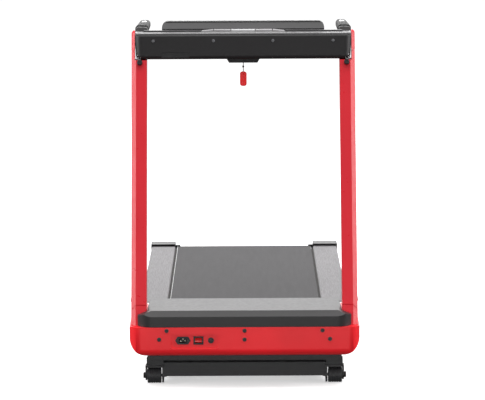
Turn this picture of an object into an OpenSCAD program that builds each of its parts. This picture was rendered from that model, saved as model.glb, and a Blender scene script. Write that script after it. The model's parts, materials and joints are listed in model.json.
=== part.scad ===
// Folding electric treadmill. Millimetres, +Z up, front (motor) end toward -Y.
// Everything but the world placement is drawn in the machine's own frame: y = 0 at the front
// shell's face, z = 0 where the rear feet stand. The whole machine then tips down to the rear.

/* [Body] */
// Width of the front shell
body_w = 740; // [730:2:750]
// Length from the front shell to the back of the rear caps
deck_l = 1560; // [1540:10:1600]
// Downward slope of the deck toward the rear, degrees
slope = 2.1; // [1.8:0.1:2.4]
// Height of the foot rails above the feet
rail_top = 192; // [190:1:194]

/* [Running deck] */
// Width of the running belt
belt_w = 492; // [480:2:492]
// Belt thickness
belt_t = 2; // [1.6:0.2:2.4]
// Radius of both rollers
roller_r = 22; // [20:1:22]

/* [Uprights] */
// Backward lean of the uprights, degrees
lean = 18; // [17:0.5:19]
// Width of an upright seen from the front
upright_w = 50; // [48:1:50]
// Depth of an upright
upright_d = 62; // [60:1:64]
// Height of the fold axis
fold_z = 228; // [226:1:232]

/* [Console] */
// Height of the console's underside
console_z = 986; // [980:1:995]
// Height of the console bar
console_h = 81; // [78:1:84]
// Length of the handle grips
grip_l = 235; // [200:5:250]

/* [Wheels] */
// Transport wheel radius
wheel_r = 25; // [24:0.5:26]

/* [Hidden] */
$fn = 72;
eps = 0.5;
fit = 0.05;
lap = 0.02;
wall = 3;

half_w = body_w / 2;
rear_y = deck_l;
foot_y = 1420;
foot_x = 294;
foot_r = 19;
foot_h = 31;
red = [0.80, 0.11, 0.14];
black = [0.13, 0.13, 0.13];
grey = [0.45, 0.44, 0.45];
steel = [0.60, 0.61, 0.63];
rubber = [0.08, 0.08, 0.08];

// front shell
shell_z0 = 58;
shell_z1 = 153;
shell_back = 255;
shell_corner = 60;
shell_front_r = 24;
shell_plan_r = 36;
recess_x0 = -237;
recess_x1 = -85;
recess_z0 = 83;
recess_z1 = 130;
recess_d = 5;
inlet_x = -198;
switch_x = -148;
breaker_x = -108;
panel_z = 110;
screw_spots = [[250, 142], [274, 114], [0, 142], [0, 113]];

// hood
hood_top = 204;
hood_half = 312;
hood_ear = 344;
hood_ear_back = 60;
hood_back = 262;
hood_bevel_z = 187;
hood_bevel_y = 22;
hood_side_x = 300;
hood_plan_r = 48;

// foot rails and frame
rail_in = 253;
rail_out = 341;
rail_y0 = 264.5;
rail_y1 = 1466;
rail_t = 3.4;
rail_low_z = 140;
channel_in = 275;
channel_out = 313;
channel_z0 = 100;
channel_z1 = 150;
channel_y0 = 20;
channel_y1 = 1510;
bracket_z1 = 116;
tray_tubes_y = [30, 150];
tube = 30;
tray_z0 = 62;
tray_t = 4;
cross_tubes_y = [290, 612, 1000, 1400];
cross_z0 = 104;
axle_block_t = 16;
foot_top_z = 31.6;
cap_top = 196.5;
far = 400;

// belt loop
front_roller_y = 215;
rear_roller_y = 1496;
belt_top = rail_top - 4;
loop_r = roller_r + 0.3;
roller_z = belt_top - belt_t - loop_r;
board_top = belt_top - belt_t - 0.3;
board_t = 18;
board_half = 300;
axle_r = 6;
tension_x = 283;
tension_r = 3.5;
cushion_y = [300, 660, 1020, 1380];

// drive
motor_y = 95;
motor_z = 148;
motor_r = 40;
motor_pulley_r = 13;
roller_pulley_r = 30;
pulley_x = 260;
pulley_w = 14;
drive_t = 3;
motor_x0 = 60;
motor_x1 = 205;
motor_shaft_r = 8;

// uprights
upright_out = half_w - 4.5;
upright_in = upright_out - upright_w;
facet = 15;
face_y = 310;
pin_inset = 14;
head_y = face_y + pin_inset;
head_z = console_z + pin_inset;
face_drop = console_z - 2 - fold_z;
fold_y = face_y - face_drop * tan(lean) + upright_d / 2 / cos(lean);
end_r = upright_d / 2 + 7;
foot_gap_r = end_r + 1.5;
ear_in = upright_out - 8;
ear_r = 28;
plate_x0 = 346;
plate_x1 = 351.5;
rod_x = 341;
fold_max = 66;
rod_angle = lean + fold_max / 2;
rod_arm = 20;
rod_dy = rod_arm * cos(rod_angle);
rod_dz = -rod_arm * sin(rod_angle);
fold_axle_r = 7;
rod_pin_r = 4;
head_bolt_r = 5;

// console
bar_half = 356;
bar_back = 420;
bar_top = console_z + console_h;
ear_top_r = 18;
ear_top_z = bar_top - 8;
cover_t = 5;
dash_half = 268;
dash_back = 575;
crest_y = 468;
crest_z = 1102;
dash_low_z = 1042;
dash_corner = 20;
dash_angle = atan((crest_z - dash_low_z) / (dash_back - crest_y));
groove_x0 = 138;
groove_x1 = 327;
groove_y = face_y + 62;
groove_w = 10;
console_screw_x = [97, 294];
console_screw_z = 1047;
handle_x = 331.5;
handle_w = 37;
handle_h = 30;
handle_z = 1071;
neck_l = 25;
grip_y0 = bar_back + neck_l;
rocker_y = grip_y0 + 150;
rocker_half = 8;

// safety key
key_y = 350;
housing_drop = 13;
cord_top = console_z - housing_drop;
cord_l = 30;
cord_r = 1.3;
cord_in = 3;
key_top = cord_top - cord_l;
key_h = 48;
key_w = 22;
key_t = 9;

// lift frame
wheel_y = 110;
wheel_z = (wheel_r - (foot_y - wheel_y) * sin(slope)) / cos(slope);
wheel_in = 270.5;
wheel_out = 315.5;
lift_y = 400;
lift_z = 60;
lift_max = 8;
lug_arm = 42;
lug_y = lift_y + lug_arm * sin(lift_max / 2);
lug_z = lift_z + lug_arm * cos(lift_max / 2);
lift_pin_r = 8;
lug_pin_r = 5;
yoke_in = 268;
yoke_out = 322;
wheel_axle_r = 5;
lift_bar_z0 = -24;
lift_bar_z1 = 21;
lift_bar_y0 = wheel_y - 16;
lift_bar_y1 = wheel_y + 24;
plate_t = 6;
yoke_z0 = 5;
yoke_z1 = 11;
lift_block_top = 35.5;

// world placement: the shell's low front edge and the rear cap's top edge end up equally far from 0
front_reach = foot_y - foot_y * cos(slope) + (shell_z0 + shell_front_r) * sin(slope);
rear_reach = foot_y + (rear_y - foot_y) * cos(slope) + (rail_top - 20) * sin(slope);
mid_y = (front_reach + rear_reach) / 2;

// ---------- shared shapes ----------

// puts the machine frame into the world frame
module place()
    translate([0, foot_y - mid_y, 0])
        rotate([-slope, 0, 0])
            translate([0, -foot_y, 0])
                children();

// left is -X
module on_side(side)
    mirror([side == "left" ? 1 : 0, 0, 0])
        children();

module both_sides() {
    children();
    mirror([1, 0, 0])
        children();
}

// flat shape with round corners, from one corner
module round_rect(w, h, r) {
    translate([r, 0])
        square([w - 2 * r, h]);
    translate([0, r])
        square([w, h - 2 * r]);
    for (x = [r, w - r], y = [r, h - r])
        translate([x, y])
            circle(r);
}

// shape in the X-Z plane pushed along +Y from y0 to y1
module push_y(y0, y1)
    translate([0, y1, 0])
        rotate([90, 0, 0])
            linear_extrude(y1 - y0)
                children();

// shape in the Y-Z plane pushed along +X from x0 to x1
module push_x(x0, x1)
    translate([x0, 0, 0])
        rotate([90, 0, 90])
            linear_extrude(x1 - x0)
                children();

// round bar along X
module rod_x(r, x0, x1, y, z)
    translate([x0, y, z])
        rotate([0, 90, 0])
            cylinder(r = r, h = x1 - x0);

// round bar along Y
module rod_y(r, y0, y1, x, z)
    translate([x, y1, z])
        rotate([90, 0, 0])
            cylinder(r = r, h = y1 - y0);

module box(x0, x1, y0, y1, z0, z1)
    translate([x0, y0, z0])
        cube([x1 - x0, y1 - y0, z1 - z0]);

// belt round two circles: local x runs from the first to the second, z across the belt
module strap(r1, r2, span, thick, width) {
    a = acos((r1 - r2) / span);
    rotate(a)
        rotate_extrude(angle = 360 - 2 * a)
            translate([r1, 0])
                square([thick, width]);
    translate([span, 0, 0])
        rotate(-a)
            rotate_extrude(angle = 2 * a)
                translate([r2, 0])
                    square([thick, width]);
    for (low = [0, 1])
        mirror([0, low, 0])
            rotate(a)
                translate([r1, -span * sin(a) - lap, 0])
                    cube([thick, span * sin(a) + 2 * lap, width]);
}

// moves children to the upright's own frame: z up along it, y backward from its centre line
module in_upright()
    translate([0, fold_y, fold_z])
        rotate([-lean, 0, 0])
            children();

// ---------- frame and shells ----------

module channels()
    both_sides() {
        difference() {
            box(channel_in, channel_out, channel_y0, channel_y1, channel_z0, channel_z1);
            box(channel_in + wall, channel_out - wall, channel_y0 - 1, channel_y1 + 1,
                channel_z0 + wall, channel_z1 - wall);
        }
        box(channel_in, channel_in + axle_block_t, front_roller_y - 16, front_roller_y + 16,
            channel_z1 - eps, roller_z + 2 * axle_r);
        box(channel_in, channel_in + axle_block_t, rear_roller_y - 30, rear_roller_y + 10,
            channel_z1 - eps, roller_z + 2 * axle_r);
        box(channel_in + 4, channel_out - 4, foot_y - tube / 2, foot_y + tube / 2,
            foot_top_z, channel_z0 + eps);
        box(channel_in, channel_out, lift_y - 26, lift_y + 26, lift_z - 22, channel_z0 + eps);
        fold_bracket();
    }

// lug plate that carries the fold axle and the tie rod's lower pin
module fold_bracket() {
    low_y = fold_y - (fold_z - bracket_z1) * tan(lean);
    push_x(plate_x0, plate_x1) {
        translate([fold_y, fold_z])
            circle(14);
        translate([fold_y + rod_dy, fold_z + rod_dz])
            circle(9);
        polygon([
            [fold_y - 14, fold_z], [low_y - 22, bracket_z1 - 2], [low_y + 26, bracket_z1 - 2],
            [fold_y + rod_dy + 8, fold_z + rod_dz - 4], [fold_y + 14, fold_z]
        ]);
    }
    box(channel_out - eps, plate_x1, low_y - 24, low_y + 28, bracket_z1 - 12, bracket_z1);
}

module cross_tubes() {
    for (y = tray_tubes_y)
        difference() {
            box(-channel_out, channel_out, y, y + tube, tray_z0, channel_z0);
            box(-channel_out - 1, channel_out + 1, y + wall, y + tube - wall,
                tray_z0 + wall, channel_z0 - wall);
        }
    for (y = cross_tubes_y)
        box(-channel_in, channel_in, y, y + tube, cross_z0, cross_z0 + tube);
    // tray under the motor and its controller, with two saddles for the motor
    box(-250, 250, tray_tubes_y[0], tray_tubes_y[1] + tube, channel_z0 - eps, channel_z0 + tray_t);
    for (x = [90, 170])
        box(x, x + 20, motor_y - 26, motor_y + 26, channel_z0 + tray_t - eps,
            motor_z - motor_r * 0.7);
}

module base_frame()
    color(grey)
        difference() {
            union() {
                channels();
                cross_tubes();
            }
            rod_x(axle_r, -far, far, front_roller_y, roller_z);
            rod_x(axle_r, -far, far, rear_roller_y, roller_z);
            rod_x(fold_axle_r, -far, far, fold_y, fold_z);
            rod_x(rod_pin_r, -far, far, fold_y + rod_dy, fold_z + rod_dz);
            both_sides()
                rod_x(lift_pin_r, channel_in - 1, channel_out + 1, lift_y, lift_z);
            rod_x(motor_r + 0.1, 50, motor_x1 + 10, motor_y, motor_z);
            both_sides()
                rod_y(tension_r, rear_roller_y, rear_roller_y + 20, tension_x, roller_z);
        }

// outside of the shell, grown inward by t
module shell_solid(t)
    intersection() {
        push_y(t, shell_back + t)
            translate([-half_w + t, shell_z0 + t])
                round_rect(body_w - 2 * t, 200, shell_corner - t);
        translate([-half_w + t, t, 0])
            linear_extrude(shell_z1)
                round_rect(body_w - 2 * t, 400, shell_plan_r - t);
        push_x(-half_w, half_w)
            translate([t, shell_z0 + t])
                round_rect(400, 200, shell_front_r - t);
        box(-half_w, half_w, 0, shell_back + t, 0, shell_z1);
    }

module shell_cuts() {
    push_y(-1, recess_d)
        translate([recess_x0, recess_z0])
            round_rect(recess_x1 - recess_x0, recess_z1 - recess_z0, 8);
    box(inlet_x - 15, inlet_x + 15, 0, 20, panel_z - 11, panel_z + 11);
    box(switch_x - 13.5, switch_x + 13.5, 0, 20, panel_z - 11, panel_z + 11);
    rod_y(6, 0, 20, breaker_x, panel_z);
    both_sides()
        for (s = screw_spots)
            rod_y(3, -1, 10, s[0], s[1]);
}

module base_shell()
    color(red)
        difference() {
            union() {
                difference() {
                    shell_solid(0);
                    shell_solid(wall);
                }
                box(recess_x0 - 4, recess_x1 + 4, wall - eps, recess_d + wall,
                    recess_z0 - 4, recess_z1 + 4);
                shoulders();
                shell_ledge();
            }
            foot_room(0.4);
            shell_cuts();
            box(-channel_out - 0.3, channel_out + 0.3, shell_back - 2, shell_back + 5, 99, 200);
        }

// top of the shell round the feet and under the hood's ears
module shell_ledge()
    intersection() {
        shell_solid(0);
        both_sides()
            box(hood_half + 1, half_w, 0, 134, shell_z1 - wall, shell_z1);
    }

// raised sides behind the feet, beside the hood
module shoulders()
    both_sides()
        difference() {
            box(upright_in, half_w - 2, 132, shell_back, shell_z1 - 4, rail_top - 4);
            box(upright_in + wall, half_w - 2 - wall, 132 + wall, shell_back + 1,
                shell_z1 - 5, rail_top - 4 - wall);
        }

module belly_pan()
    color(black)
        difference() {
            box(-channel_out, channel_out, 50, 250, 36, shell_z0 - 0.3);
            box(-channel_out + wall, channel_out - wall, 53, 247, 39, shell_z0);
        }

// hood profile in Y-Z, shrunk by t
module hood_profile(t)
    polygon([
        [t, 100], [t, hood_bevel_z - t * 0.5], [hood_bevel_y + t * 0.5, hood_top - t],
        [hood_back - 6 - t * 0.5, hood_top - t], [hood_back - t, hood_top - 8 - t * 0.5],
        [hood_back - t, 100]
    ]);

module hood_plan(t) {
    intersection() {
        translate([-hood_ear + t, t])
            round_rect(2 * (hood_ear - t), 2 * hood_back, hood_plan_r - t);
        translate([-hood_ear, 0])
            square([2 * hood_ear, hood_ear_back - t]);
    }
    translate([-hood_half + t, hood_bevel_y])
        round_rect(2 * (hood_half - t), hood_back - hood_bevel_y - t, 10);
}

// hood from the front, shrunk by t: the ears slope down outward
module hood_front(t)
    polygon([
        [-hood_ear + t, 100], [-hood_ear + t, hood_bevel_z - t * 0.5],
        [-hood_side_x, hood_top - t], [hood_side_x, hood_top - t],
        [hood_ear - t, hood_bevel_z - t * 0.5], [hood_ear - t, 100]
    ]);

// room for the uprights' feet, grown by t
module foot_room(t)
    in_upright()
        both_sides()
            translate([upright_in - t, -upright_d / 2 - t, -130])
                cube([upright_w + 2 * t, upright_d + 2 * t, 230]);

module hood_solid(t)
    difference() {
        intersection() {
            push_x(-hood_ear, hood_ear)
                hood_profile(t);
            push_y(0, hood_back)
                hood_front(t);
            linear_extrude(hood_top + 5)
                hood_plan(t);
        }
        foot_room(1 + t);
    }

module motor_hood()
    color(black)
        difference() {
            hood_solid(0);
            hood_solid(wall);
            box(-far, far, -50, far, 0, shell_z1 + 0.3);
            box(-rail_out, rail_out, 249, far, 0, rail_top + 0.4);
            box(-channel_out - 2, channel_out + 2, 240, far, 0, rail_top + 0.4);
        }

// red sleeve below the fold axis
module upright_feet()
    color(red)
        both_sides()
            difference() {
                intersection() {
                    in_upright()
                        translate([0, 0, -110])
                            linear_extrude(110)
                                difference() {
                                    upright_section(0);
                                    upright_section(wall);
                                }
                    box(0, far, 0, far, bracket_z1 + 0.2, fold_z);
                }
                rod_x(foot_gap_r, 300, far, fold_y, fold_z);
                box(300, far, fold_y, far, fold_z - 33, fold_z + 1);
            }

// fold axles, lower tie rod pins and lift pivots, all fixed in the base frame
module pivot_pins()
    color(steel)
        both_sides() {
            rod_x(fold_axle_r, upright_in + 0.4, upright_out + 3, fold_y, fold_z);
            rod_x(rod_pin_r, rod_x - 6, plate_x1, fold_y + rod_dy, fold_z + rod_dz);
            rod_x(lift_pin_r, 245, channel_out + 3, lift_y, lift_z);
        }

// ---------- running deck ----------

module deck_board()
    color([0.55, 0.43, 0.30])
        box(-board_half, board_half, 252, 1440, board_top - board_t, board_top);

module deck_cushions()
    color(rubber)
        both_sides()
            for (y = cushion_y)
                translate([foot_x, y, channel_z1])
                    cylinder(r = 5.5, h = board_top - board_t - channel_z1);

module rail(side)
    color(grey)
        on_side(side)
            push_y(rail_y0, rail_y1)
                difference() {
                    translate([rail_in, rail_low_z])
                        difference() {
                            round_rect(rail_out - rail_in, rail_top - rail_low_z, 6);
                            translate([rail_t, -10])
                                square([rail_out - rail_in - 2 * rail_t,
                                    rail_top - rail_low_z + 10 - rail_t]);
                        }
                    // the inner wall stops above the deck board
                    translate([rail_in - 1, 0])
                        square([20, board_top]);
                }

module rail_left() rail("left");
module rail_right() rail("right");

// outside of a rear cap, grown inward by t
module cap_solid(t)
    intersection() {
        push_x(rail_in + t, rail_out + 2 - t)
            translate([rail_y1 - 60, 122 + t])
                round_rect(rear_y - rail_y1 + 60 - t, 78 - 2 * t, 24 - t);
        linear_extrude(210)
            translate([rail_in + t, rail_y1 - 60])
                round_rect(rail_out + 2 - rail_in - 2 * t, rear_y - rail_y1 + 60 - t, 20 - t);
        box(0, 400, rail_y1 + 0.4, rear_y, 0, 210);
    }

module rear_caps()
    color(black)
        both_sides()
            difference() {
                cap_solid(0);
                intersection() {
                    cap_solid(wall);
                    box(0, far, 0, rear_y, 0, cap_top);
                }
                box(rail_in + 2, rail_out - 2, 0, channel_y1 + 3, channel_z0, channel_z1 + 2);
                box(rail_in + wall, rail_out - wall, 0, rail_y1 + 20, channel_z0, cap_top - 0.5);
                rod_x(axle_r + 2, 240, 280, rear_roller_y, roller_z);
                rod_y(6, rear_y - 20, rear_y + 5, tension_x, roller_z);
            }

// arc of guard over the belt's edge at the rear roller
module roller_guards()
    color(black)
        both_sides()
            intersection() {
                difference() {
                    rod_x(30, 236, rail_in - 0.3, rear_roller_y, roller_z);
                    rod_x(26.5, 235, rail_in, rear_roller_y, roller_z);
                }
                box(200, 300, rear_roller_y - 8, rear_roller_y + 40, roller_z - 10, 250);
            }

module running_belt()
    color([0.30, 0.29, 0.30])
        translate([-belt_w / 2, front_roller_y, roller_z])
            rotate([90, 0, 90])
                strap(loop_r, loop_r, rear_roller_y - front_roller_y, belt_t, belt_w);

module front_roller()
    color(steel)
        difference() {
            union() {
                rod_x(roller_r, -248, 250, front_roller_y, roller_z);
                rod_x(roller_pulley_r, pulley_x - pulley_w / 2 - 4, pulley_x + pulley_w / 2,
                    front_roller_y, roller_z);
            }
            rod_x(axle_r + fit, -300, 300, front_roller_y, roller_z);
        }

module rear_roller()
    color(steel)
        difference() {
            rod_x(roller_r, -248, 248, rear_roller_y, roller_z);
            rod_x(axle_r + fit, -300, 300, rear_roller_y, roller_z);
        }

module roller_axles()
    color(steel) {
        rod_x(axle_r, -channel_in - 16, channel_in + 16, front_roller_y, roller_z);
        rod_x(axle_r, -channel_in - 14, channel_in + 14, rear_roller_y, roller_z);
    }

module tension_bolts()
    color(steel)
        both_sides() {
            rod_y(3.5, rear_roller_y + axle_r, rear_y - 8, tension_x, roller_z);
            rod_y(5.5, rear_y - 14, rear_y - 6, tension_x, roller_z);
        }

module drive_motor()
    color(black)
        difference() {
            union() {
                rod_x(motor_r, motor_x0, motor_x1, motor_y, motor_z);
                rod_x(motor_r - 12, motor_x0 - 6, motor_x0 + eps, motor_y, motor_z);
            }
            rod_x(motor_shaft_r + fit, motor_x0 - 10, motor_x1 + 5, motor_y, motor_z);
        }

module motor_rotor()
    color(steel) {
        rod_x(motor_shaft_r, motor_x0 - 4, pulley_x + pulley_w / 2 + 2, motor_y, motor_z);
        rod_x(motor_r - 2, motor_x1 + 7, motor_x1 + 25, motor_y, motor_z);
        rod_x(motor_pulley_r, pulley_x - pulley_w / 2, pulley_x + pulley_w / 2, motor_y, motor_z);
    }

module drive_belt() {
    dy = front_roller_y - motor_y;
    dz = roller_z - motor_z;
    color(rubber)
        translate([pulley_x - 5, motor_y, motor_z])
            rotate([90, 0, 90])
                rotate(atan2(dz, dy))
                    strap(motor_pulley_r + 0.3, roller_pulley_r + 0.3, norm([dy, dz]), drive_t, 10);
}

module motor_controller()
    color([0.10, 0.32, 0.18]) {
        box(-230, -60, 60, 170, 110, 113);
        for (x = [-210 : 12 : -150])
            box(x, x + 4, 70, 130, 113 - eps, 140);
        for (y = [80, 120])
            translate([-105, y, 113 - eps])
                cylinder(r = 14, h = 38);
        for (x = [-222, -76], y = [62, 160])
            box(x, x + 8, y, y + 8, channel_z0 + 4, 110 + eps);
    }

// ---------- front panel ----------

module inlet_socket()
    color(black)
        difference() {
            union() {
                push_y(recess_d - 3, recess_d)
                    translate([inlet_x, panel_z])
                        polygon([
                            [-25, 0], [-17, 12.5], [17, 12.5], [25, 0], [17, -12.5], [-17, -12.5]
                        ]);
                box(inlet_x - 14, inlet_x + 14, recess_d - eps, 28, panel_z - 10, panel_z + 10);
            }
            box(inlet_x - 12, inlet_x + 12, 0, 22, panel_z - 8, panel_z + 8);
        }

module inlet_pins()
    color(steel)
        for (p = [[-7, -2], [0, 3], [7, -2]])
            box(inlet_x + p[0] - 1, inlet_x + p[0] + 1, 7, 22, panel_z + p[1] - 2, panel_z + p[1] + 2);

module switch_frame()
    color(black)
        difference() {
            union() {
                box(switch_x - 16, switch_x + 16, recess_d - 2.5, recess_d,
                    panel_z - 13.5, panel_z + 13.5);
                box(switch_x - 13, switch_x + 13, recess_d - eps, 26, panel_z - 10.5, panel_z + 10.5);
            }
            box(switch_x - 11.5, switch_x + 11.5, 0, 20, panel_z - 9, panel_z + 9);
        }

rocker_axis_y = recess_d + 6;

module rocker_switch()
    color([0.85, 0.08, 0.08])
        push_x(switch_x - 11, switch_x + 11)
            intersection() {
                translate([rocker_axis_y, panel_z])
                    circle(8.6);
                polygon([
                    [rocker_axis_y - 8, panel_z - 10], [rocker_axis_y - 6, panel_z],
                    [rocker_axis_y - 9, panel_z + 10], [rocker_axis_y + 4, panel_z + 10],
                    [rocker_axis_y + 4, panel_z - 10]
                ]);
            }

module breaker_body()
    color(black)
        difference() {
            union() {
                rod_y(9.5, recess_d - 3, recess_d, breaker_x, panel_z);
                rod_y(5.8, recess_d - eps, 30, breaker_x, panel_z);
            }
            rod_y(4.05, 0, 20, breaker_x, panel_z);
        }

module breaker_button()
    color(grey)
        rod_y(4, -3, 12, breaker_x, panel_z);

module shell_screws()
    color(black)
        for (side = [-1, 1], s = screw_spots)
            if (s[0] > 0 || side > 0) {
                rod_y(6.7, -2.2, 0, side * s[0], s[1]);
                rod_y(2.9, -eps, 14, side * s[0], s[1]);
            }

module rear_feet()
    color(rubber)
        both_sides()
            translate([foot_x, foot_y, 0])
                rotate([slope, 0, 0])
                    cylinder(r = foot_r, h = foot_h);

// ---------- lift frame ----------

module lift_arm()
    push_x(yoke_in - plate_t, yoke_in) {
        translate([lift_y, lift_z])
            circle(22);
        translate([wheel_y, wheel_z])
            circle(24);
        polygon([
            [wheel_y, wheel_z + 24], [300, 14], [lift_y - 14, lift_z + 16],
            [lift_y + 16, lift_z - 14], [310, -20], [wheel_y, wheel_z - 20]
        ]);
    }

module lift_frame()
    color(black)
        difference() {
            union() {
                both_sides() {
                    lift_arm();
                    box(yoke_in - eps, yoke_out, wheel_y - 20, wheel_y + 20, yoke_z0, yoke_z1);
                    box(yoke_in - plate_t, yoke_in, wheel_y - 20, wheel_y + 20, wheel_z, yoke_z1);
                    push_x(wheel_out + 1, yoke_out) {
                        translate([wheel_y, wheel_z])
                            circle(16);
                        translate([wheel_y - 16, wheel_z])
                            square([32, yoke_z1 - wheel_z]);
                    }
                    box(yoke_in - 4, yoke_out - 4, wheel_y - 14, wheel_y + 14,
                        yoke_z1 - eps, lift_block_top);
                }
                box(-yoke_in + plate_t - eps, yoke_in - plate_t + eps, lift_bar_y0, lift_bar_y1,
                    lift_bar_z0, lift_bar_z1);
                rod_x(14, -yoke_in + plate_t - eps, yoke_in - plate_t + eps, lift_y, lift_z);
                push_x(-8, 8) {
                    translate([lug_y, lug_z])
                        circle(11);
                    translate([lug_y - 11, lift_z])
                        square([22, lug_z - lift_z]);
                }
            }
            box(plate_t + wall - yoke_in, yoke_in - plate_t - wall, lift_bar_y0 + wall,
                lift_bar_y1 - wall, lift_bar_z0 + wall, lift_bar_z1 - wall);
            both_sides()
                rod_x(7, yoke_in - 20, yoke_in - plate_t, wheel_y, wheel_z);
            push_x(-4.5, 4.5)
                translate([lug_y - 15, lug_z - 14])
                    square([40, 30]);
            rod_x(lift_pin_r + fit, -far, far, lift_y, lift_z);
            rod_x(lug_pin_r, -10, 10, lug_y, lug_z);
            both_sides()
                rod_x(wheel_axle_r, 250, far, wheel_y, wheel_z);
        }

module wheel_bolts()
    color(steel) {
        both_sides() {
            rod_x(wheel_axle_r, 252, 329, wheel_y, wheel_z);
            rod_x(9, yoke_out, 329, wheel_y, wheel_z);
            rod_x(6, yoke_in - 13, yoke_in - plate_t, wheel_y, wheel_z);
        }
        rod_x(lug_pin_r, -10, 10, lug_y, lug_z);
    }

module wheel(side)
    color([0.20, 0.20, 0.21])
        on_side(side)
            difference() {
                rod_x(wheel_r, wheel_in, wheel_out, wheel_y, wheel_z);
                rod_x(wheel_axle_r + fit, 200, 400, wheel_y, wheel_z);
                rod_x(wheel_r - 5, wheel_out - 4, wheel_out + 1, wheel_y, wheel_z);
            }

module wheel_left() wheel("left");
module wheel_right() wheel("right");

module lift_motor()
    color(black)
        difference() {
            union() {
                rod_y(23, 480, 600, 0, lug_z);
                box(-14, 14, 595, 610, lug_z - 14, lug_z + 14);
            }
            rod_y(9.05, 470, 560, 0, lug_z);
        }

module lift_screw()
    color(steel)
        difference() {
            union() {
                rod_y(9, lug_y + 13, 530, 0, lug_z);
                box(-4, 4, lug_y, lug_y + 16, lug_z - 7, lug_z + 7);
                rod_x(9.5, -4, 4, lug_y, lug_z);
            }
            rod_x(lug_pin_r + 0.5, -10, 10, lug_y, lug_z);
        }

// ---------- uprights ----------

// cross-section shrunk by t; x outward, y backward from the front face's middle line
module upright_section(t) {
    f = facet + t * (sqrt(2) - 1);
    polygon([
        [upright_in + t, -upright_d / 2 + t], [upright_out - f, -upright_d / 2 + t],
        [upright_out - t, -upright_d / 2 + f], [upright_out - t, upright_d / 2 - t],
        [upright_in + t, upright_d / 2 - t]
    ]);
}

module upright_tube()
    intersection() {
        in_upright()
            difference() {
                translate([0, 0, -end_r])
                    linear_extrude(900)
                        upright_section(0);
                translate([0, 0, -end_r - 1])
                    linear_extrude(902)
                        upright_section(wall);
                translate([300, 0, -60])
                    cube([100, 100, 90]);
            }
        union() {
            rod_x(end_r, 300, 400, fold_y, fold_z);
            in_upright()
                translate([300, -100, 0])
                    cube([100, 200, 900]);
        }
        box(0, 400, 0, 500, 0, console_z - 2);
    }

// side walls that close the lower end again where the rear was cut away
module upright_cheeks()
    intersection() {
        in_upright()
            for (x = [upright_in, upright_out - wall])
                translate([x, -upright_d / 2 + facet, -end_r])
                    cube([wall, upright_d - facet, end_r + 31]);
        union() {
            rod_x(end_r, 300, 400, fold_y, fold_z);
            in_upright()
                translate([300, -100, 0])
                    cube([100, 200, 900]);
        }
    }

// plate beside the console's end that carries its pivot bolt
module upright_ear()
    push_x(ear_in, upright_out) {
        translate([head_y, head_z])
            circle(ear_r);
        translate([head_y + 12, ear_top_z])
            circle(ear_top_r);
        polygon([
            [face_y + 2, console_z - 30], [head_y - 24, head_z + 14], [head_y - 5, ear_top_z + 6],
            [head_y + 30, ear_top_z], [head_y + ear_r, head_z], [head_y + 18, console_z - 30]
        ]);
    }

module upright(side)
    color(red)
        on_side(side)
            difference() {
                union() {
                    upright_tube();
                    upright_cheeks();
                    upright_ear();
                }
                rod_x(fold_axle_r + fit, 300, 400, fold_y, fold_z);
                rod_x(head_bolt_r, 300, 400, head_y, head_z);
                knob_shape(5 + fit, -60, 0);
            }

module upright_left() upright("left");
module upright_right() upright("right");

module tie_rod(side)
    color(steel)
        on_side(side) {
            h = head_z - fold_z;
            d = head_y - fold_y;
            length = norm([h, d]);
            translate([0, fold_y + rod_dy, fold_z + rod_dz])
                rotate([-atan2(d, h), 0, 0])
                    difference() {
                        union() {
                            rod_x(8, rod_x - 4, rod_x + 3, 0, 0);
                            rod_x(8, rod_x - 4, rod_x + 3, 0, length);
                            box(rod_x - 3, rod_x + 2, -4, 4, 0, length);
                        }
                        rod_x(rod_pin_r + fit, 300, 400, 0, 0);
                        rod_x(rod_pin_r + 0.6, 300, 400, 0, length);
                    }
        }

module tie_rod_left() tie_rod("left");
module tie_rod_right() tie_rod("right");

// round pull knob on the front face, just below the console; y runs backward from that face
knob_x = 338;
knob_u = (console_z - 20 - fold_z) / cos(lean);

module knob_shape(r, y0, y1)
    in_upright()
        translate([knob_x, y1 - upright_d / 2 + 10, knob_u])
            rotate([90, 0, 0])
                cylinder(r = r, h = y1 - y0);

module knob(side)
    color(black)
        on_side(side) {
            knob_shape(5, -24, 0);
            knob_shape(9, -24, -10.5);
        }

module knob_left() knob("left");
module knob_right() knob("right");

module head_bolts()
    color(steel)
        both_sides() {
            rod_x(head_bolt_r, plate_x0 - 4, upright_out + 2, head_y, head_z);
            rod_x(9, upright_out, upright_out + 4, head_y, head_z);
        }

// ---------- console ----------

// bar profile in Y-Z shrunk by t
module bar_profile(t) {
    y0 = face_y + t;
    z0 = console_z + t;
    translate([head_y, head_z])
        circle(pin_inset - t);
    translate([y0, head_z])
        square([bar_back - t - y0, bar_top - t - head_z]);
    translate([head_y, z0])
        square([bar_back - t - head_y, 40]);
}

module console_bar()
    color(black)
        difference() {
            push_x(-bar_half, bar_half)
                bar_profile(0);
            push_x(-bar_half + wall, bar_half - wall)
                bar_profile(wall);
            both_sides() {
                rod_x(head_bolt_r + 1, 340, 400, head_y, head_z);
                box(328, plate_x1 + 0.5, face_y + 6, face_y + 66, console_z - 5, console_z + wall + 1);
                for (x = console_screw_x)
                    rod_y(2.5, face_y - 5, face_y + 8, x, console_screw_z);
            }
            box(-60, 60, key_y - 20, key_y + 26, console_z - 5, console_z + wall + 1);
        }

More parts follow.
